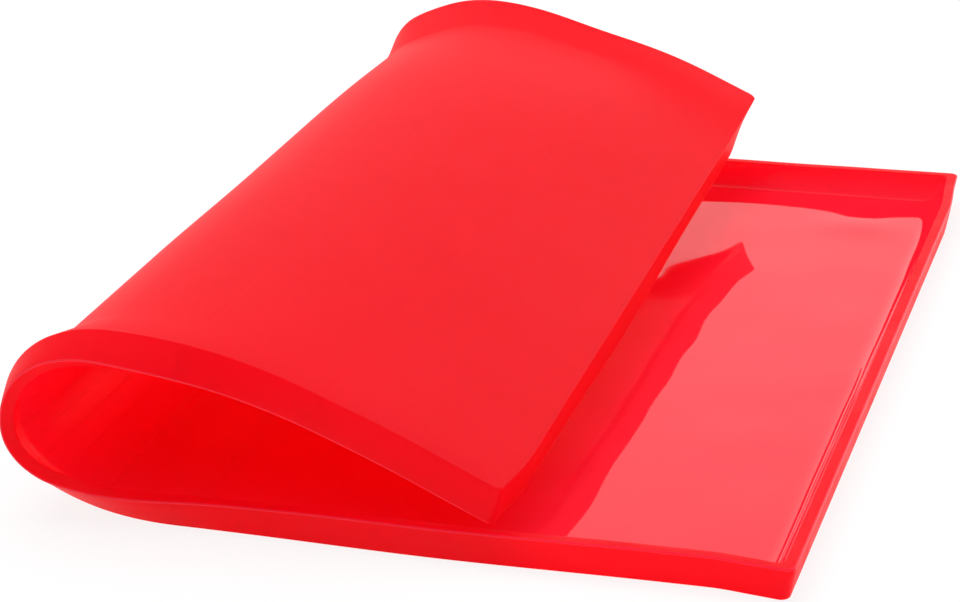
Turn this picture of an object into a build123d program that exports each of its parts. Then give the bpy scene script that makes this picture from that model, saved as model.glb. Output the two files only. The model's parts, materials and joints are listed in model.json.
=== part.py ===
from build123d import *
from math import cos, exp, log, radians, sin
import os

# A silicone baking mat: a shallow tray moulded in one piece, with a low rim on all four sides.
# It lies folded, as it is kept and handed over. Its right part lies flat with the rim up, and
# its left part curls up and over to the right, so that the flap's underside is on top.
# The moulding bends along twelve fold lines that fan out slightly across it. Between two fold
# lines lies a short strip, and every fold line is a hinge at the mat's outer skin, so that
# the strips meet face to face as folded and part on their inner side as the mat is laid flat.
# Millimetres. Z is up, X runs along the mat and Y across it. The origin is in the middle of
# the underside of the part that lies flat.

# The moulding, laid flat: its underside, its rim and its walls
mat_length = 396.0
mat_width = 296.0
rim_height = 10.0
rim_overhang = 2.0
rim_thickness = 3.5
floor_thickness = 2.0
corner_radius = 2.5

# A corner's rounding is never more than this share of the rim's thickness
corner_share = 0.9

# The fold: how many fold lines share its turn, and where they cross the front and back edges.
# Places along the mat are measured from its right end and are shares of its length: the middle
# fold line's, and how widely the lines before and after it spread.
fold_count = 12
front_fold_shares = (0.5914, 0.0394, 0.0677)
back_fold_shares = (0.5909, 0.0437, 0.0793)

# The flap comes down until its front corner stands this far above the lying part's front rim.
# The folds turn it by more than the first angle by then, and by less than the second.
resting_gap = 0.2
least_turn = 180.0
most_turn = 240.0
turn_halvings = 40

# The rims splay outwards where the mat bends, because their tips lie inside the bend. The
# largest splay angle is at the first share of the length, and dies away over the second. The
# lying part's rims start to splay at the first of the start shares of the way to the bend.
splay_angle = 58.0
splay_shares = (0.6152, 0.1515)
splay_start_shares = (0.5, 0.8)

# An edge of a solid counts as upright when more than this share of it points up
upright_share = 0.7

# How far a floor is made past its fold lines before it is cut there
cut_overrun = 1.0

right_angle = 90.0

half_width = mat_width / 2
fold_numbers = range(fold_count)


def fold_place(number, middle_share, before_share, after_share):
    """How far along an edge a fold line crosses it: crowded at the middle of the bend."""
    turned_share = (number + 1 / 2) / fold_count
    spread_share = before_share if turned_share < 1 / 2 else after_share
    crowding = log(turned_share / (1 - turned_share))
    return mat_length * (middle_share + spread_share * crowding)


front_places = [fold_place(n, *front_fold_shares) for n in fold_numbers]
back_places = [fold_place(n, *back_fold_shares) for n in fold_numbers]

# The lying part's length and middle, and where the flap's rims run straight again
lying_length = (front_places[0] + back_places[0]) / 2
lying_middle = lying_length / 2
splay_end = (max(front_places[-1], back_places[-1]) + mat_length) / 2


def splay_at(place):
    """How far a rim leans out beyond its moulded lean, in degrees, at a place along the mat."""
    middle, reach = [mat_length * share for share in splay_shares]
    return splay_angle * exp(-(((place - middle) / reach) ** 2))


def flat_point(place, across):
    """A point of the underside in the mat's flat frame."""
    return Vector(lying_middle - place, across, 0)


def fold_line(number):
    """The flat frame's fold line: X along it from front to back, Y away from the lying part."""
    front = flat_point(front_places[number], -half_width)
    back = flat_point(back_places[number], half_width)
    return Plane(origin=front, x_dir=back - front, z_dir=(0, 0, 1))


def body_places(fold_angle):
    """Each body's place: the lying part's first, then strip after strip, and the flap's last.

    A body's flat frame is the one before it, turned about the fold line between them."""
    found = [Location()]
    for number in fold_numbers:
        line = fold_line(number).location
        fold = Location((0, 0, 0), (fold_angle, 0, 0))
        found.append(found[-1] * line * fold * line.inverse())
    return found


def flap_corner_height(fold_angle):
    """How high the tip of the flap's front corner stands when every fold has this angle."""
    tip = flat_point(mat_length + rim_overhang, -half_width - rim_overhang)
    flap_frame = Plane(body_places(fold_angle)[-1])
    return flap_frame.from_local_coords(tip + Vector(0, 0, rim_height)).Z


# The angle of every fold: halve the range in which the flap's corner comes down on the rim
open_angle = least_turn / fold_count
closed_angle = most_turn / fold_count
for step in range(turn_halvings):
    turn = (open_angle + closed_angle) / 2
    if flap_corner_height(turn) > rim_height + resting_gap:
        open_angle = turn
    else:
        closed_angle = turn

places = body_places(turn)
lying = places[0]
flap = places[-1]


def fold_plane(number):
    """The plane in which two strips meet: X along the fold line, Y halfway between the two."""
    line = fold_line(number).location
    return Plane(places[number] * line * Location((0, 0, 0), (right_angle + turn / 2, 0, 0)))


def on_fold(number, across, height, body_side):
    """A point of the cross-section in the plane of a fold line, as one of its bodies has it.

    body_side is 1 for the body before the fold line and -1 for the body after it."""
    along_line = fold_line(number).x_dir
    up = height / cos(radians(turn / 2))
    lean = up * sin(radians(turn / 2)) * along_line.X
    return (across + half_width + body_side * lean) / along_line.Y, up


def cross_plane(body, place):
    """The plane straight across a flat body at a place along the mat: X across, Y up."""
    across = Plane(origin=flat_point(place, 0), x_dir=(0, 1, 0), z_dir=(1, 0, 0))
    return Plane(body * across.location)


def rim_section(side, splay):
    """The cross-section of a rim: side is -1 at the front and 1 at the back."""
    swing = radians(splay)
    section = [(-rim_thickness, 0), (0, 0)]
    for out in (rim_overhang, rim_overhang - rim_thickness):
        tip_out = out * cos(swing) + rim_height * sin(swing)
        tip_up = rim_height * cos(swing) - out * sin(swing)
        section.append((tip_out, tip_up))
    section.append((-rim_thickness, floor_thickness))
    return [(side * (half_width + out), up) for out, up in section]


def across_body(body, place, section):
    """A face of the given cross-section, straight across a flat body."""
    with BuildSketch(cross_plane(body, place)) as face:
        with BuildLine():
            Polyline(*section, close=True)
        make_face()
    return face.sketch


def across_fold(number, section, body_side):
    """A face of one body's cross-section, in the plane of a fold line."""
    points = [on_fold(number, across, height, body_side) for across, height in section]
    with BuildSketch(fold_plane(number)) as face:
        with BuildLine():
            Polyline(*points, close=True)
        make_face()
    return face.sketch


def edge_places(side):
    """Where the fold lines cross the front edge, or the back edge."""
    return front_places if side < 0 else back_places


def fold_rim_face(side, number, body_side):
    """A rim's cross-section at a fold line, splayed as the bend splays it there."""
    section = rim_section(side, splay_at(edge_places(side)[number]))
    return across_fold(number, section, body_side)


def write(piece, name):
    """Name a finished piece and write its file."""
    piece.label = name
    export_step(piece, f"parts/{name}.step")


def end_block(body, end, outwards):
    """The rim across an end of the mat, as wide as the mat and still with sharp corners.

    outwards is 1 at the right end and -1 at the flap's free end."""
    levels = [
        (0, 0, rim_thickness),
        (floor_thickness, rim_overhang * floor_thickness / rim_height, rim_thickness),
        (rim_height, rim_overhang, rim_thickness - rim_overhang),
    ]
    with BuildPart() as block:
        for height, out, back in levels:
            middle = flat_point(end - outwards * (out - back) / 2, 0)
            with BuildSketch(Plane(body * Location(middle + Vector(0, 0, height)))):
                Rectangle(out + back, mat_width + 2 * out)
        loft(ruled=True)
    return block.part


def make_end_rim(name, body, end, outwards):
    """The rim across an end of the mat, with that end's two outer corners rounded."""
    frame = Plane(body)
    foot = frame.from_local_coords(flat_point(end, 0))
    outward = frame.x_dir * outwards
    with BuildPart() as end_rim:
        add(end_block(body, end, outwards))
        corners = [
            edge
            for edge in end_rim.edges()
            if abs(frame.z_dir.dot(edge.tangent_at(0))) > upright_share
            and outward.dot(edge.center() - foot) >= 0
        ]
        fillet(corners, min(corner_radius, corner_share * rim_thickness))
    write(end_rim.part, name)


def make_edge_rim(name, faces, block):
    """The rim along an edge of a flat body, up against the rim across the body's end."""
    with BuildPart() as edge_rim:
        loft(faces, ruled=True)
        add(block, mode=Mode.SUBTRACT)
    write(edge_rim.part, name)


def floor_corners(number, beyond):
    """The floor's two corners at a fold line, or at an end of the mat, front one first.

    number counts the fold lines: -1 is the right end, and fold_count is the flap's free end."""
    edge = half_width - rim_thickness
    corners = []
    for side in (-1, 1):
        if number < 0:
            place = rim_thickness
        elif number == fold_count:
            place = mat_length - rim_thickness
        else:
            back_share = (half_width + side * edge) / mat_width
            front, back = front_places[number], back_places[number]
            place = front + (back - front) * back_share + beyond
        corners.append(flat_point(place, side * edge))
    return corners


def make_floor(name, number):
    """The floor of a body, which ends at the fold lines on both of its sides."""
    before = floor_corners(number - 1, -cut_overrun)
    after = floor_corners(number, cut_overrun)
    with BuildPart() as floor:
        with BuildSketch(Plane(places[number])):
            with BuildLine():
                Polyline(*before, *reversed(after), close=True)
            make_face()
        extrude(amount=floor_thickness)
        if number > 0:
            split(bisect_by=fold_plane(number - 1), keep=Keep.BOTTOM)
        if number < fold_count:
            split(bisect_by=fold_plane(number), keep=Keep.TOP)
    write(floor.part, name)


def make_bend_rim(name, side, number):
    """The length of a rim that belongs to one strip of the bend."""
    with BuildPart() as bend_rim:
        loft([fold_rim_face(side, number - 1, -1), fold_rim_face(side, number, 1)], ruled=True)
    write(bend_rim.part, name)


os.makedirs("parts", exist_ok=True)

sides = {"front": -1, "back": 1}

# The lying part: floor, end rim, and a rim along each edge that starts to splay near the bend
make_floor("tray_floor", 0)
make_end_rim("tray_end_rim", lying, 0, 1)
tray_end = end_block(lying, 0, 1)
for name, side in sides.items():
    splay_start, halfway = [share * edge_places(side)[0] for share in splay_start_shares]
    rim_faces = [
        across_body(lying, 0, rim_section(side, 0)),
        across_body(lying, splay_start, rim_section(side, 0)),
        across_body(lying, halfway, rim_section(side, splay_at(halfway))),
        fold_rim_face(side, 0, 1),
    ]
    make_edge_rim(f"tray_{name}_rim", rim_faces, tray_end)

# The bend: between two fold lines lies one strip, a length of the floor and of each rim
for strip in range(1, fold_count):
    make_floor(f"bend_floor_{strip:02d}", strip)
    for name, side in sides.items():
        make_bend_rim(f"bend_{name}_rim_{strip:02d}", side, strip)

# The flap: the same parts as the lying part, at the mat's other end
make_floor("flap_floor", fold_count)
make_end_rim("flap_end_rim", flap, mat_length, -1)
flap_end = end_block(flap, mat_length, -1)
for name, side in sides.items():
    rim_faces = [
        fold_rim_face(side, fold_count - 1, -1),
        across_body(flap, splay_end, rim_section(side, 0)),
        across_body(flap, mat_length, rim_section(side, 0)),
    ]
    make_edge_rim(f"flap_{name}_rim", rim_faces, flap_end)
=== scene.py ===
import json
from math import cos, exp, pi, radians, sin, tan

import bmesh
import bpy
from mathutils import Matrix, Vector, noise


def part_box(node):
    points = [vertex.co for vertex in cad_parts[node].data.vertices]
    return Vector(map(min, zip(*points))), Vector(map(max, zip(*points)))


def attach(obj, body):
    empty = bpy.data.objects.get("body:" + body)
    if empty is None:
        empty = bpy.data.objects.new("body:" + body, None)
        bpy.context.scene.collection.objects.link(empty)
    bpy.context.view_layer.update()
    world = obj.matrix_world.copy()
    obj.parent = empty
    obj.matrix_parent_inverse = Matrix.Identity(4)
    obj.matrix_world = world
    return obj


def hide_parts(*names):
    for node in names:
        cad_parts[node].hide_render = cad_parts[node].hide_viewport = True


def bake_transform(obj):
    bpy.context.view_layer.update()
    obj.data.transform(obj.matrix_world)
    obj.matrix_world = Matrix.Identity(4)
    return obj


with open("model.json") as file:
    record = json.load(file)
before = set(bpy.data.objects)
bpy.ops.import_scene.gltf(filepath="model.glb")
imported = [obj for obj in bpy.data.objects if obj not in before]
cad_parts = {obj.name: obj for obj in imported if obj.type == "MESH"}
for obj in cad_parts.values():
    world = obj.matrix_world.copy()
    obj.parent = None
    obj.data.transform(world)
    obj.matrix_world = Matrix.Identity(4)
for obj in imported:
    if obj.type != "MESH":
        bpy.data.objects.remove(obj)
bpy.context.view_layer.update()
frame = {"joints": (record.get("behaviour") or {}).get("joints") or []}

# The lying part of the baking mat: a shallow tray of red silicone rubber, poured in one piece
# with the rest of the mat. Its floor is 2 mm thick and its leaning rim 10 mm high. The mould
# left the inside glossy and the outside matt.

# Sizes of the moulding, laid flat. X runs along it, towards the lying part's end.
rim_thickness = 0.0035
rim_swelling = 0.0007
lying_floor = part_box("tray_floor")
lying_end_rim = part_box("tray_end_rim")
floor_thickness = lying_floor[1].z
half_width = lying_floor[1].y + rim_thickness
right_end = lying_floor[1].x + rim_thickness
rim_height = lying_end_rim[1].z
rim_overhang = lying_end_rim[1].x - right_end
mat_length = 0.396
foot_round = 0.0005
floor_round = 0.008
tip_round = 0.00045
corner_round = 0.0025

# Into how many faces the large roundings, the rim's tip and its walls are divided
round_steps = 9
tip_steps = 4
wall_steps = 3

# How far the rims splay outwards where the mat bends, as the solids have it
splay_angle = radians(58)
splay_middle_share = 0.6152
splay_reach_share = 0.1515
splay_middle = right_end - splay_middle_share * mat_length
splay_reach = splay_reach_share * mat_length

# How the rubber gives way where it is bent. A place is measured from the lying part's end. Both
# long edges curl outwards from the bend on, the front one softly and the back one sharply.
bend_top = 0.249
front_curl = 0.0042
front_curl_reach = 0.029
front_curl_depth = 0.008
back_curl = 0.0042
back_curl_start = 0.234
back_curl_end = 0.262
back_curl_depth = 0.005
back_lip = 0.002
back_lip_place = 0.272
back_lip_reach = 0.030
back_sag = 0.002
back_sag_depth = 0.050
back_dips = ((0.0011, 0.271, 0.015), (0.0032, 0.336, 0.027))

# The bend swells a little in its front half, and the flap crowns before its free end
bend_swell = 0.0007
bend_swell_place = 0.259
bend_swell_reach = 0.022
flap_crown = 0.0008
flap_crown_place = 0.362
flap_crown_reach = 0.022

# The free end sags in the middle. Its back corner curls up, and its rim leans in there.
end_zone = 0.066
end_sag = 0.0022
end_sag_across = 0.050
end_sag_reach = 0.090
corner_curl_depth = 0.030
back_corner_lean = 0.003
back_corner_reach = 0.030
end_bow = 0.0012
end_bow_across = -0.025
end_bow_reach = 0.050
front_corner_pull = 0.0022
front_corner_reach = 0.012

# The lying part's front edge bows out, its back corner is pulled in and its floor ripples there
front_bow = 0.0016
front_bow_place = 0.096
front_bow_reach = 0.045
lying_corner_push = 0.0024
lying_corner_reach = 0.022
lying_end_pull = 0.0006
lying_corner_pull = 0.0022
lying_corner_length = 0.035
floor_ridge = 0.0005
floor_ridge_place = 0.030
floor_ridge_length = 0.012
floor_ridge_from_back = 0.036
floor_ridge_width = 0.009

# The poured surface isn't quite even
wave_size = 0.028
wave_height = 0.0002

# The strip beside an edge that holds the rim's section, and the spacing of the mesh
edge_width = 0.012
column_spacing = 0.004
row_spacing = 0.003
fewest_rows = 6
seam_row = 0.0002

# Points this close together are one, and an edge this short is none
joined_distance = 1e-6
shortest_edge = 1e-7

# The folds: each body's place, and where every fold line crosses the front and back edges
body_places = [Matrix.Identity(4)]
fold_lines = []
fold_turn = radians(frame["joints"][0]["range_deg"][1])
for joint in frame["joints"]:
    pivot = Vector(joint["pos_m"])
    axis = Vector(joint["axis"])
    to_flat = body_places[-1].inverted()
    flat_pivot = to_flat @ pivot
    flat_axis = to_flat.to_3x3() @ axis
    slant = flat_axis.x / flat_axis.y
    middle = flat_pivot.x - slant * flat_pivot.y
    fold_lines.append(Vector((middle - slant * half_width, middle + slant * half_width)))
    to_pivot = Matrix.Translation(pivot)
    folding = to_pivot @ Matrix.Rotation(-fold_turn, 4, axis) @ Matrix.Translation(-pivot)
    body_places.append(folding @ body_places[-1])

# The seams between the lengths that the mat is drawn in, one before and one after each fold line.
# A seam divides the strip between two folds as the strips on both sides of it are long.
first_leg = 0.014
last_leg = 0.022
strips = [later - earlier for earlier, later in zip(fold_lines, fold_lines[1:])]
spans = [
    (before + after) / 2
    for before, after in zip([strips[0], *strips], [*strips, strips[-1]])
]
seams = [fold_lines[0] + Vector((first_leg, first_leg))]
for line, strip, span, next_span in zip(fold_lines, strips, spans, spans[1:]):
    share = [a / (a + b) for a, b in zip(span, next_span)]
    seams.append(Vector([x + s * part for x, s, part in zip(line, strip, share)]))
seams.append(fold_lines[-1] - Vector((last_leg, last_leg)))


def rounded_corner(before, corner, after, radius, steps):
    """Points of the arc that rounds a corner of an outline."""
    to_before = (before - corner).normalized()
    to_after = (after - corner).normalized()
    half_angle = to_before.angle(to_after) / 2
    centre = corner + (to_before + to_after).normalized() * radius / sin(half_angle)
    first = corner + to_before * radius / tan(half_angle) - centre
    last = corner + to_after * radius / tan(half_angle) - centre
    turn = pi - 2 * half_angle
    arc = []
    for i in range(steps + 1):
        first_share = sin(turn * (1 - i / steps)) / sin(turn)
        last_share = sin(turn * i / steps) / sin(turn)
        arc.append(centre + first * first_share + last * last_share)
    return arc


def between(first, last, steps):
    """Points that divide the way from one point to another, without its two ends."""
    return [first.lerp(last, i / steps) for i in range(1, steps)]


def rim_section(splay):
    """The rim's outer and inner outline, each from the floor to the middle of the rim's top.

    A point is how far it stands out from the rim's foot, and its height."""
    foot = Vector((0, 0))
    inner_foot = Vector((-rim_thickness, floor_thickness))
    tip_thickness = rim_thickness + rim_swelling * splay / splay_angle
    tips = []
    for out in (rim_overhang, rim_overhang - tip_thickness):
        tips.append(Vector((out * cos(splay) + rim_height * sin(splay),
                            rim_height * cos(splay) - out * sin(splay))))
    outer_tip, inner_tip = tips
    tip_middle = (outer_tip + inner_tip) / 2
    outlines = []
    for start_height, corner, tip, other_tip, radius in (
        (0, foot, outer_tip, inner_tip, foot_round),
        (floor_thickness, inner_foot, inner_tip, outer_tip, floor_round),
    ):
        start = Vector((-edge_width, start_height))
        low = rounded_corner(start, corner, tip, radius, round_steps)
        high = rounded_corner(corner, tip, other_tip, tip_round, tip_steps)
        wall = between(low[-1], high[0], wall_steps)
        outlines.append([start, *low, *wall, *high, tip_middle])
    return outlines


def splay_at(x):
    """How far the rims lean out beyond their moulded lean, at a place along the mat."""
    return splay_angle * exp(-(((x - splay_middle) / splay_reach) ** 2))


def near(value, middle, reach):
    """1 at the middle of a rounded hump, and almost 0 from two reaches on."""
    return exp(-(((value - middle) / reach) ** 2))


def ramp(value, start, end):
    """A smooth rise from 0 at the start to 1 at the end."""
    share = min(max((value - start) / (end - start), 0), 1)
    return share * share * (3 - 2 * share)


def settled(x, y, z):
    """A point of the laid-flat mat, moved as the rubber gives way when the mat is folded."""
    place = right_end - x
    from_front = max(half_width + y, 0)
    from_back = max(half_width - y, 0)
    to_end = ramp(place, mat_length - end_zone, mat_length)

    # Away from the inside of the bend, which is upwards on the flap
    out = front_curl * near(place, bend_top, front_curl_reach)
    out *= near(from_front, 0, front_curl_depth)
    depth = back_curl_depth + (corner_curl_depth - back_curl_depth) * to_end
    lip = back_lip * near(place, back_lip_place, back_lip_reach)
    curled = ramp(place, back_curl_start, back_curl_end)
    out += (back_curl + lip) * curled * near(from_back, 0, depth)
    sag = back_sag * ramp(place, bend_top, bend_top + end_zone) + lip
    sag += sum(dip * near(place, middle, reach) for dip, middle, reach in back_dips)
    out -= sag * near(from_back, 0, back_sag_depth)
    swollen = near(place, bend_swell_place, bend_swell_reach)
    out += bend_swell * swollen * ramp(y, 0, -half_width / 2)
    out += flap_crown * near(place, flap_crown_place, flap_crown_reach)
    out -= end_sag * to_end * near(y, end_sag_across, end_sag_reach)
    ridge = near(from_back, floor_ridge_from_back, floor_ridge_width)
    out -= floor_ridge * near(place, floor_ridge_place, floor_ridge_length) * ridge

    # Along the mat, at its two ends
    height = z / rim_height
    at_flap_end = ramp(place, mat_length - front_corner_reach, mat_length)
    lean = back_corner_lean * ramp(from_back, back_corner_reach, 0)
    lean -= end_bow * near(y, end_bow_across, end_bow_reach)
    pull = front_corner_pull * near(from_front, 0, front_corner_reach)
    along = at_flap_end * (lean * height + pull)
    at_lying_end = ramp(place, lying_corner_length, 0)
    at_corner = ramp(from_back, lying_corner_length, 0)
    along -= at_lying_end * (lying_end_pull + lying_corner_pull * at_corner)

    # Across the mat, at the lying part's front edge
    bow = front_bow * near(place, front_bow_place, front_bow_reach)
    bow += lying_corner_push * ramp(place, lying_corner_reach, 0)
    across = -bow * ramp(from_front, half_width / 2, 0)

    waves = wave_height * noise.noise(Vector((x, y, 0)) / wave_size)
    evenness = min(z / floor_thickness, 1)
    return Vector((x + along, y + across, z - out + waves * evenness))


floor_edge = half_width - edge_width
column_count = round(2 * floor_edge / column_spacing)
columns = [floor_edge * (2 * i / column_count - 1) for i in range(1, column_count)]


def section_at(front_x, back_x):
    """The mat's whole cross-section along one line across it, from the front rim's top over
    the inside to the back rim's top, and under the outside back to the front rim."""
    outer_front, inner_front = rim_section(splay_at(front_x))
    outer_back, inner_back = rim_section(splay_at(back_x))
    outline = [(-half_width - out, up) for out, up in reversed(inner_front)]
    outline += [(y, floor_thickness) for y in columns]
    outline += [(half_width + out, up) for out, up in inner_back]
    outline += [(half_width + out, up) for out, up in reversed(outer_back[:-1])]
    outline += [(y, 0) for y in reversed(columns)]
    outline += [(-half_width - out, up) for out, up in outer_front[:-1]]
    slope = (back_x - front_x) / (2 * half_width)
    middle = (front_x + back_x) / 2
    return [settled(middle + slope * y, y, z) for y, z in outline]


def add_grid(mesh, rows, closed=False):
    """Add the faces of a grid of points. The first half of each row is the mat's inside.

    It is glossy up to the rim's top. The top and the outside are matt, and between them runs
    the edge that was trimmed when the mat left the mould, which is smooth again."""
    # The glossy faces, the trimmed edge among them, also take the glossy silicone's paler, pinker
    # red, which is painted sheen
    made = [[mesh.verts.new(point) for point in row] for row in rows]
    count = len(rows[0])
    half = count // 2
    glossy = {*range(tip_steps + 1 if closed else 0, half - tip_steps - 1)}
    glossy.update(range(half + 1, half + tip_steps + 1))
    if closed:
        glossy.update(range(count - tip_steps - 1, count - 1))
    for row, next_row in zip(made, made[1:]):
        for i in range(count if closed else count - 1):
            j = (i + 1) % count
            face = mesh.faces.new((row[i], row[j], next_row[j], next_row[i]))
            face.smooth = True
            face.material_index = 1 if i in glossy else 0


def add_seam_face(mesh, section):
    """Close the mat's cross-section with a row of faces, where two lengths of it meet."""
    made = [mesh.verts.new(point) for point in section]
    count = len(made)
    for i in range(count // 2):
        corners = [made[i], made[i + 1], made[count - i - 1], made[(count - i) % count]]
        face = mesh.faces.new(list(dict.fromkeys(corners)))
        face.smooth = False
        face.material_index = 0


def corner_point(end, outwards, side, out, up, turn_share):
    """A point of the rim's section, on its way round a corner from the edge to the end."""
    radius = min(corner_round, (edge_width + out) / 2)
    centre = radius - out
    angle = turn_share * pi / 2
    x = end - outwards * (centre - radius * sin(angle))
    y = side * (half_width - centre + radius * cos(angle))
    return settled(x, y, up)


def add_end_rim(mesh, end, outwards):
    """Add the rim across one end of the mat, with its two rounded corners."""
    start = end - outwards * edge_width
    outer, inner = rim_section(splay_at(start))
    outline = [*inner, *reversed(outer[:-1])]
    corners = []
    for side in (-1, 1):
        before = [settled(start, side * (half_width + out), up) for out, up in outline]
        arc = [
            [corner_point(end, outwards, side, out, up, i / round_steps) for out, up in outline]
            for i in range(round_steps + 1)
        ]
        after = [settled(end + outwards * out, side * floor_edge, up) for out, up in outline]
        corners.append([before, *arc, after])
    across = [
        [settled(end + outwards * out, y, up) for out, up in outline]
        for y in columns
    ]
    add_grid(mesh, [*corners[0], *across, *reversed(corners[1])])


def finished_mesh(mesh, name):
    """Join the faces of a length of the mat where they meet, and turn them outwards."""
    bmesh.ops.remove_doubles(mesh, verts=mesh.verts, dist=joined_distance)
    bmesh.ops.dissolve_degenerate(mesh, edges=mesh.edges, dist=shortest_edge)
    bmesh.ops.recalc_face_normals(mesh, faces=mesh.faces)
    made = bpy.data.meshes.new(name)
    mesh.to_mesh(made)
    mesh.free()
    # Which faces are glossy, and so also painted with the paler red that stands for sheen
    glossy = made.attributes.new("glossy", "BOOLEAN", "FACE")
    glossy.data.foreach_set("value", [face.material_index == 1 for face in made.polygons])
    laid_flat = made.attributes.new("laid_flat", "FLOAT_VECTOR", "POINT")
    places = [length for vertex in made.vertices for length in vertex.co]
    laid_flat.data.foreach_set("vector", places)
    return made


def row_shares(length):
    """Where the rows of a length of the mat lie, with a narrow row beside its seams."""
    count = max(round(length / row_spacing), fewest_rows)
    thin = seam_row / length
    return [0, thin, *[i / count for i in range(1, count)], 1 - thin, 1]


def end_length(name, seam, end, outwards):
    """The flat mesh of the lying part or the flap, from its seam to the rim across its end."""
    last = Vector((end - outwards * edge_width,) * 2)
    shares = row_shares((last - seam).length)
    rows = [section_at(*seam.lerp(last, share)) for share in shares]
    mesh = bmesh.new()
    add_grid(mesh, rows, closed=True)
    add_seam_face(mesh, rows[0])
    add_end_rim(mesh, end, outwards)
    return finished_mesh(mesh, name)


def add_node(tree, kind, inputs, **settings):
    """Add a node, with its settings, its values and its links from other nodes."""
    made = tree.nodes.new(kind)
    for name, value in settings.items():
        setattr(made, name, value)
    for place, value in inputs.items():
        if isinstance(value, bpy.types.NodeSocket):
            tree.links.new(value, made.inputs[place])
        else:
            made.inputs[place].default_value = value
    return made.outputs


# Noise rarely leaves this range, which is spread over the whole of a patch's values
noise_range = (0.3, 0.7)
patch_detail = 3.0
patch_roughness = 0.6


def cloudy(tree, place, size, low, high):
    """A value that drifts between a low and a high one, over patches of the given size."""
    patches = {"Vector": place, "Scale": 1 / size}
    patches.update({"Detail": patch_detail, "Roughness": patch_roughness})
    drift = add_node(tree, "ShaderNodeTexNoise", patches)[0]
    spread = {0: drift, 1: noise_range[0], 2: noise_range[1], 3: low, 4: high}
    return add_node(tree, "ShaderNodeMapRange", spread)[0]


def mixed_colour(tree, share, first, second):
    """A colour between two others."""
    mix = {"Factor": share, 6: first, 7: second}
    return add_node(tree, "ShaderNodeMix", mix, data_type="RGBA")[2]


# How much of its colour the rubber lets through, what it mirrors, and how its tint and its sheen
# drift. Handling has dulled it between these places along the mat, from the bend on.
light_through = 0.78
rubber_ior = 1.43
tint_size = 0.03
sheen_size = 0.012
handled_from = -0.06
handled_to = -0.13

# Pale specks in the rubber, far apart
speck_spacing = 0.045
speck_size = 0.006
speck_colour = (0.95, 0.12, 0.13, 1)


def silicone(name, colours, roughness, handled_roughness, shine, bump_size, bump_height):
    """Red silicone rubber, as matt or as glossy as the mould left it.

    Light passes through it, so that the inside of the fold glows instead of lying in the dark.
    From the bend on, handling has dulled it."""
    material = bpy.data.materials.new(name)
    material.use_nodes = True
    tree = material.node_tree
    shader = tree.nodes["Principled BSDF"]
    place = add_node(tree, "ShaderNodeAttribute", {}, attribute_name="laid_flat")["Vector"]

    # Its red drifts between two tints and holds a few specks
    red = mixed_colour(tree, cloudy(tree, place, tint_size, 0.0, 1.0), *colours)
    specks = {"Vector": place, "Scale": 1 / speck_spacing, "Randomness": 1.0}
    nearest = add_node(tree, "ShaderNodeTexVoronoi", specks)["Distance"]
    speck = add_node(tree, "ShaderNodeMapRange", {0: nearest, 1: speck_size, 2: 0.0})[0]
    red = mixed_colour(tree, speck, red, speck_colour)

    # One part of the red throws light back, and the other lets it through
    parts = []
    for amount in (1 - light_through, light_through):
        part = {0: red, "Scale": amount}
        parts.append(add_node(tree, "ShaderNodeVectorMath", part, operation="SCALE")[0])
    tree.links.new(parts[0], shader.inputs["Base Color"])
    through = add_node(tree, "ShaderNodeBsdfTranslucent", {"Color": parts[1]})[0]
    surface = add_node(tree, "ShaderNodeAddShader", {0: shader.outputs[0], 1: through})[0]
    tree.links.new(surface, tree.nodes["Material Output"].inputs["Surface"])

    # Its sheen, duller where it has been handled, and the unevenness of the mould
    along = add_node(tree, "ShaderNodeSeparateXYZ", {0: place})[0]
    handled = add_node(tree, "ShaderNodeMapRange", {0: along, 1: handled_from, 2: handled_to})[0]
    new_sheen = cloudy(tree, place, sheen_size, *roughness)
    sheen = {0: handled, 2: new_sheen, 3: handled_roughness}
    tree.links.new(add_node(tree, "ShaderNodeMix", sheen)[0], shader.inputs["Roughness"])
    unevenness = {"Vector": place, "Scale": 1 / bump_size, "Detail": 1.0}
    height = add_node(tree, "ShaderNodeTexNoise", unevenness)[0]
    bumps = {"Height": height, "Distance": bump_height, "Strength": 1.0}
    tree.links.new(add_node(tree, "ShaderNodeBump", bumps)[0], shader.inputs["Normal"])
    shader.inputs["IOR"].default_value = rubber_ior
    shader.inputs["Specular IOR Level"].default_value = shine
    return material


# The outside, and the inside, of the moulding. They are the same rubber, but the inside's red is
# paler and pinker than the outside's. That is painted sheen, which lightens the inside's hollows
# and the dark things its gloss mirrors.
matt_silicone = silicone(
    "matt silicone",
    colours=((0.98, 0.004, 0.035, 1), (0.99, 0.006, 0.042, 1)),
    roughness=(0.42, 0.55),
    handled_roughness=0.5,
    shine=0.13,
    bump_size=0.0006,
    bump_height=0.00003,
)
glossy_silicone_painted_pale = silicone(
    "glossy silicone painted pale",
    # Painted sheen: this red is paler and pinker than the rubber's own, which the matt outside
    # shows
    colours=((0.98, 0.045, 0.125, 1), (0.99, 0.052, 0.145, 1)),
    roughness=(0.02, 0.05),
    handled_roughness=0.4,
    shine=0.43,
    bump_size=0.05,
    bump_height=0.0003,
)

lying_mesh = end_length("lying_part", seams[0], right_end, 1)
lying_mesh.materials.append(matt_silicone)
lying_mesh.materials.append(glossy_silicone_painted_pale)
lying_part = bpy.data.objects.new("lying_part", lying_mesh)
bpy.context.collection.objects.link(lying_part)
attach(lying_part, "tray")
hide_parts("tray_floor", "tray_front_rim", "tray_back_rim", "tray_end_rim")


# The bend: the same moulding of silicone rubber where it curls over, in twelve lengths. Each is
# laid out flat and then curved about one fold line, so that the lengths join in one smooth skin.


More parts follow.
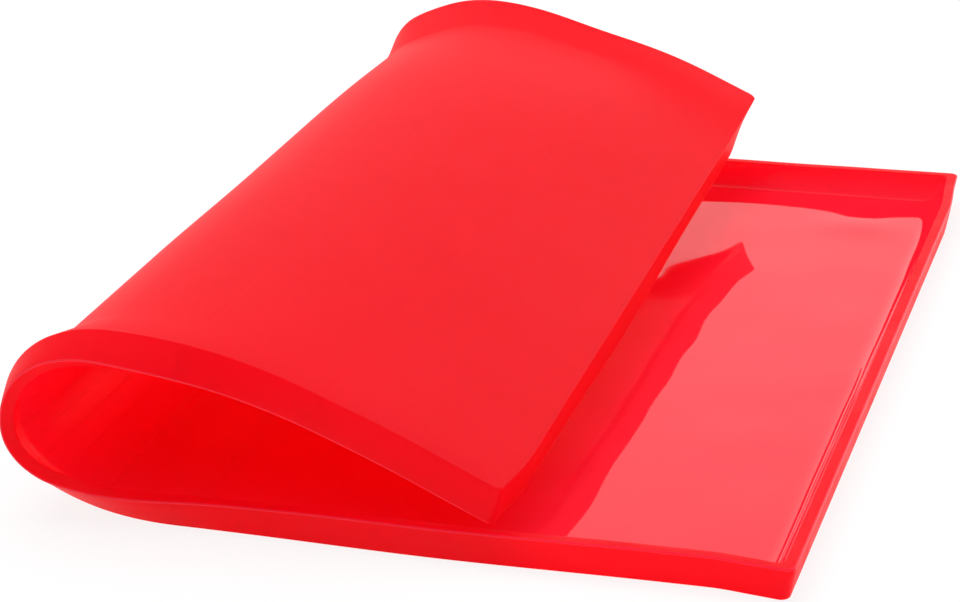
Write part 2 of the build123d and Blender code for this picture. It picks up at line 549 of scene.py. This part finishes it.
def curving_tree():
    """Geometry nodes that curve a flat length of the mat about its fold line."""
    tree = bpy.data.node_groups.new("curve a length of the mat", "GeometryNodeTree")
    for name, kind in (
        ("Length", "Geometry"),
        ("Half width", "Float"),
        ("Earlier seam front", "Float"),
        ("Earlier seam back", "Float"),
        ("Fold front", "Float"),
        ("Fold back", "Float"),
        ("Later seam front", "Float"),
        ("Later seam back", "Float"),
        ("Mitre", "Vector"),
        ("Earlier place", "Vector"),
        ("Earlier turn", "Vector"),
        ("Later place", "Vector"),
        ("Later turn", "Vector"),
    ):
        tree.interface.new_socket(name, in_out="INPUT", socket_type=f"NodeSocket{kind}")
    tree.interface.new_socket("Curved length", in_out="OUTPUT", socket_type="NodeSocketGeometry")
    given = tree.nodes.new("NodeGroupInput").outputs
    position = add_node(tree, "GeometryNodeInputPosition", {})[0]
    x, y, z = add_node(tree, "ShaderNodeSeparateXYZ", {0: position})
    back_edge = given["Half width"]
    mirrored = {0: back_edge, 1: -1.0}
    front_edge = add_node(tree, "ShaderNodeMath", mirrored, operation="MULTIPLY")[0]

    def line_at(name):
        """Where a line across the mat lies, at this point's place across it."""
        ends = {3: given[f"{name} front"], 4: given[f"{name} back"]}
        spread = {0: y, 1: front_edge, 2: back_edge, **ends}
        return add_node(tree, "ShaderNodeMapRange", spread, clamp=False)[0]

    earlier = line_at("Earlier seam")
    fold = line_at("Fold")
    later = line_at("Later seam")
    share = add_node(tree, "ShaderNodeMapRange", {0: x, 1: earlier, 2: later}, clamp=False)[0]
    lean = {0: given["Mitre"], "Scale": z}
    mitre = add_node(tree, "ShaderNodeVectorMath", lean, operation="SCALE")[0]

    def placed(line, end):
        """The point of this height on that line, where one of the two bodies holds it."""
        point = add_node(tree, "ShaderNodeCombineXYZ", {0: line, 1: y, 2: z})[0]
        if line == fold:
            point = add_node(tree, "ShaderNodeVectorMath", {0: point, 1: mitre})[0]
        turn = add_node(tree, "FunctionNodeEulerToRotation", {0: given[f"{end} turn"]})[0]
        place = {"Translation": given[f"{end} place"], "Rotation": turn}
        matrix = add_node(tree, "FunctionNodeCombineTransform", place)[0]
        held = {"Vector": point, "Transform": matrix}
        return add_node(tree, "FunctionNodeTransformPoint", held)[0]

    def mixed(first, last):
        """The point that lies between two others, as far along as this one lies between seams."""
        way = {"Factor": share, 4: first, 5: last}
        return add_node(tree, "ShaderNodeMix", way, data_type="VECTOR", clamp_factor=False)[1]

    start = placed(earlier, "Earlier")
    peak = placed(fold, "Earlier")
    end = placed(later, "Later")
    curved = mixed(mixed(start, peak), mixed(peak, end))
    moved = {"Geometry": given["Length"], "Position": curved}
    length = add_node(tree, "GeometryNodeSetPosition", moved)[0]
    length = add_node(tree, "GeometryNodeRealizeInstances", {0: length})[0]
    # The glossy faces take the glossy silicone, whose paler, pinker red is painted sheen
    named = {"Name": "glossy"}
    glossy = add_node(tree, "GeometryNodeInputNamedAttribute", named, data_type="BOOLEAN")[0]
    for surface in (
        {"Material": matt_silicone},
        {"Material": glossy_silicone_painted_pale, "Selection": glossy},
    ):
        length = add_node(tree, "GeometryNodeSetMaterial", {"Geometry": length, **surface})[0]
    tree.links.new(length, tree.nodes.new("NodeGroupOutput").inputs[0])
    return tree


curving = curving_tree()


def curved_length(name, flat_mesh, number):
    """A flat length of the mat, curved about the fold line of that number."""
    blank = bpy.data.objects.new(name + "_flat", flat_mesh)
    bpy.context.collection.objects.link(blank)
    modifier = blank.modifiers.new("curve", "NODES")
    modifier.node_group = curving
    front, back = fold_lines[number]
    across = Vector((2 * half_width, front - back, 0))
    earlier, later = body_places[number], body_places[number + 1]
    values = {
        "Half width": half_width,
        "Earlier seam front": seams[number].x,
        "Earlier seam back": seams[number].y,
        "Fold front": front,
        "Fold back": back,
        "Later seam front": seams[number + 1].x,
        "Later seam back": seams[number + 1].y,
        "Mitre": tan(fold_turn / 2) * across.normalized(),
        "Earlier place": earlier.to_translation(),
        "Earlier turn": Vector(earlier.to_euler()),
        "Later place": later.to_translation(),
        "Later turn": Vector(later.to_euler()),
    }
    for socket in curving.interface.items_tree:
        if socket.name in values:
            modifier[socket.identifier] = values[socket.name]
    bpy.context.view_layer.update()
    evaluated = blank.evaluated_get(bpy.context.evaluated_depsgraph_get())
    mesh = bpy.data.meshes.new_from_object(evaluated)
    mesh.name = name
    bpy.data.objects.remove(blank)
    piece = bpy.data.objects.new(name, mesh)
    bpy.context.collection.objects.link(piece)
    return piece


for number, (earlier_seam, later_seam) in enumerate(zip(seams, seams[1:])):
    rows = [
        section_at(*earlier_seam.lerp(later_seam, share))
        for share in row_shares((later_seam - earlier_seam).length)
    ]
    mesh = bmesh.new()
    add_grid(mesh, rows, closed=True)
    add_seam_face(mesh, rows[0])
    add_seam_face(mesh, rows[-1])
    name = f"bend_{number + 1:02d}"
    flat_mesh = finished_mesh(mesh, name + "_flat")
    flat_mesh.materials.append(matt_silicone)
    flat_mesh.materials.append(glossy_silicone_painted_pale)
    piece = curved_length(name, flat_mesh, number)
    # The whole of each seam follows one body, so that the lengths don't part there as they open
    first = [body_places[number] @ point for point in rows[0]]
    last = [body_places[number + 1] @ point for point in rows[-1]]
    way = last[0] + last[len(last) // 2] - first[0] - first[len(first) // 2]
    way = (way - way.project(Vector(frame["joints"][number]["axis"]))).normalized()
    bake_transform(piece)
    if number > 0:
        parts = ("floor", "front_rim", "back_rim")
        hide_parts(*[f"bend_{part}_{number:02d}" for part in parts])


# The flap: the mat's other end, of the same rubber, which hangs over the lying part with its
# outside on top. Its free edge comes down to the front rim and sags a little in the middle.

flap_mesh = end_length("flap", seams[-1], right_end - mat_length, -1)
flap_mesh.transform(body_places[-1])
flap_mesh.materials.append(matt_silicone)
flap_mesh.materials.append(glossy_silicone_painted_pale)
flap = bpy.data.objects.new("flap", flap_mesh)
bpy.context.collection.objects.link(flap)
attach(flap, "flap")
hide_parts("flap_floor", "flap_front_rim", "flap_back_rim", "flap_end_rim")


# The studio: a white floor that runs out of sight, and soft light from a white room.

# The floor lies this far below the mat, so that the two don't show in the same place
floor_gap = 0.0003
half_floor = 3.0
floor_white = (0.93, 0.93, 0.93, 1)
floor_roughness = 0.9
white = (1, 1, 1, 1)

# How far the floor shows as plain white instead of as it is lit
washed_out = 0.85

floor_mesh = bpy.data.meshes.new("floor")
floor_corners = [
    (x, y, -floor_gap)
    for x, y in (
        (-half_floor, -half_floor),
        (half_floor, -half_floor),
        (half_floor, half_floor),
        (-half_floor, half_floor),
    )
]
floor_mesh.from_pydata(floor_corners, [], [(0, 1, 2, 3)])
floor = bpy.data.objects.new("floor", floor_mesh)
bpy.context.collection.objects.link(floor)
floor_material = bpy.data.materials.new("white floor")
floor_material.use_nodes = True
tree = floor_material.node_tree
floor_paint = tree.nodes["Principled BSDF"]
floor_paint.inputs["Base Color"].default_value = floor_white
floor_paint.inputs["Roughness"].default_value = floor_roughness
floor_paint.inputs["Specular IOR Level"].default_value = 0.0
glow = add_node(tree, "ShaderNodeEmission", {"Color": white, "Strength": 1.0})[0]


def is_seen(tree):
    """1 for the rays that show the room: to the camera, from gloss and through clear things.

    Light that rubber scatters on its way through isn't among them."""
    rays = add_node(tree, "ShaderNodeLightPath", {})
    seen = rays["Is Camera Ray"]
    for kind in ("Is Glossy Ray", "Is Transmission Ray"):
        seen = add_node(tree, "ShaderNodeMath", {0: seen, 1: rays[kind]}, operation="MAXIMUM")[0]
    unscattered = {0: seen, 1: rays["Is Diffuse Ray"]}
    settings = {"operation": "SUBTRACT", "use_clamp": True}
    return add_node(tree, "ShaderNodeMath", unscattered, **settings)[0]


white_share = {0: is_seen(tree), 1: washed_out}
share = add_node(tree, "ShaderNodeMath", white_share, operation="MULTIPLY")[0]
surface = add_node(tree, "ShaderNodeMixShader", {0: share, 1: floor_paint.outputs[0], 2: glow})[0]
tree.links.new(surface, tree.nodes["Material Output"].inputs["Surface"])
floor_mesh.materials.append(floor_material)

# The room is white behind and above, and darker on the camera's side. What gloss mirrors of it is
# the white wall behind the mat, which ends above it in a dark ceiling. The three numbers of each
# are what a direction's height counts beside how far it points backwards, and the two sums from
# which on it is no longer dark and fully white.
dark_side = 0.12
lit_room = (0.6, -0.7, 0.1)
mirrored_room = (-0.3, 0.1, 0.6)

world = bpy.data.worlds.new("white room")
bpy.context.scene.world = world
world.use_nodes = True
tree = world.node_tree
direction = add_node(tree, "ShaderNodeTexCoord", {})["Generated"]
back, up = add_node(tree, "ShaderNodeSeparateXYZ", {0: direction})[1:]


def brightness(height_share, dark_until, white_from):
    """How bright the room is in a direction, from dark to white as it turns backwards."""
    weighed = {0: up, 1: height_share, 2: back}
    turned = add_node(tree, "ShaderNodeMath", weighed, operation="MULTIPLY_ADD")[0]
    rise = {0: turned, 1: dark_until, 2: white_from, 3: dark_side, 4: 1.0}
    return add_node(tree, "ShaderNodeMapRange", rise, interpolation_type="SMOOTHSTEP")[0]


rays = add_node(tree, "ShaderNodeLightPath", {})
rooms = {0: rays["Is Glossy Ray"], 2: brightness(*lit_room), 3: brightness(*mirrored_room)}
room = {0: add_node(tree, "ShaderNodeMix", rooms)[0], 1: rays["Is Camera Ray"]}
room = add_node(tree, "ShaderNodeMath", room, operation="MAXIMUM")[0]
tree.links.new(room, tree.nodes["Background"].inputs["Strength"])
tree.nodes["Background"].inputs["Color"].default_value = white

# A large soft lamp hangs over the mat, which gloss doesn't mirror
lamp_place = Vector((-0.3, 0.1, 1.5))
lamp_width = 1.2
lamp_power = 10.0
lamp = bpy.data.lights.new("soft lamp", "AREA")
lamp.shape = "DISK"
lamp.size = lamp_width
lamp.energy = lamp_power
lamp_holder = bpy.data.objects.new("soft lamp", lamp)
lamp_holder.location = lamp_place
lamp_holder.rotation_euler = lamp_place.to_track_quat("Z", "Y").to_euler()
lamp_holder.visible_glossy = False
bpy.context.collection.objects.link(lamp_holder)

bpy.context.scene.view_settings.view_transform = "Standard"

# The camera stands in front of the mat and a little to the right, and looks down on it
camera_aim = Vector((-0.04783, 0.02398, 0))
camera_distance = 0.85413
camera_yaw = -0.3273
camera_pitch = 0.3905
camera_roll = -0.0436
camera_lens = 97.36
forward = Vector((
    sin(camera_yaw) * cos(camera_pitch),
    cos(camera_yaw) * cos(camera_pitch),
    -sin(camera_pitch),
))
level_right = Vector((cos(camera_yaw), -sin(camera_yaw), 0))
level_up = level_right.cross(forward)
camera_right = level_right * cos(camera_roll) + level_up * sin(camera_roll)
camera_up = camera_right.cross(forward)
camera = bpy.data.objects.new("camera", bpy.data.cameras.new("camera"))
bpy.context.collection.objects.link(camera)
camera.data.lens = camera_lens
turned = Matrix((camera_right, camera_up, -forward)).transposed().to_4x4()
camera.matrix_world = Matrix.Translation(camera_aim - forward * camera_distance) @ turned
bpy.context.scene.camera = camera
